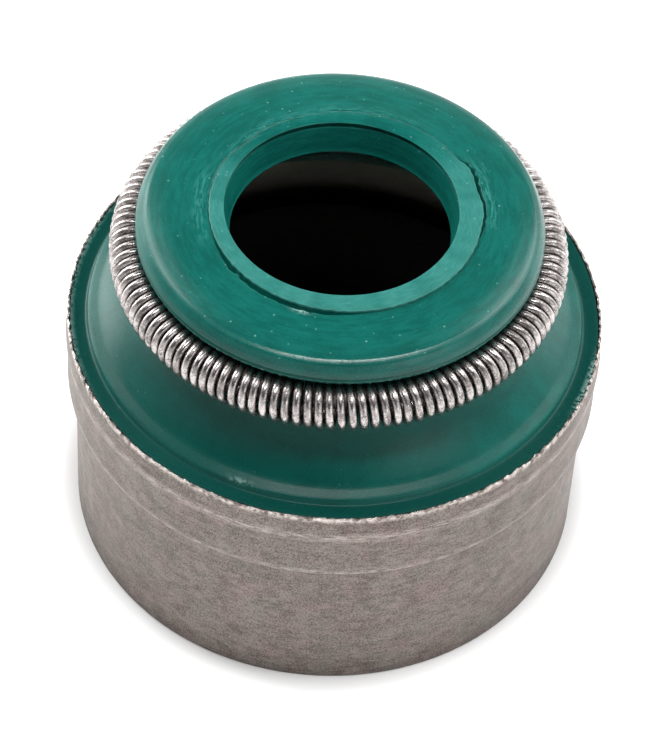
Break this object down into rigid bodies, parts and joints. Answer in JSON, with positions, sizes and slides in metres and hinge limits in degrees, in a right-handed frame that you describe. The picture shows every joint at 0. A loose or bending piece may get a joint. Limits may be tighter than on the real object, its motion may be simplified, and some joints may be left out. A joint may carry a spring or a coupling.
{
  "type": "valve stem seal",
  "caption": "Round valve stem seal: a steel case with a stepped band, a green rubber body with a sealing lip and flared bell, and a coiled garter spring below its head.",
  "frame": {"origin": "centre of the base of the steel case, on the axis", "axes": "+Z along the axis, from the base towards the opening for the valve stem"},
  "size_m": [0.0166, 0.0166, 0.0129],
  "materials": {
    "case_steel": "matte, finely mottled drawn steel with light lines along its creases and a rough sheared rim",
    "green_rubber": "smooth moulded fluoroelastomer, dark green with a soft satin sheen",
    "spring_steel": "drawn spring wire, satin bright with light tarnish"
  },
  "bodies": {
    "root": {"steel_case": "case_steel", "rubber_body": "green_rubber", "garter_spring": "spring_steel"}
  },
  "joints": []
}
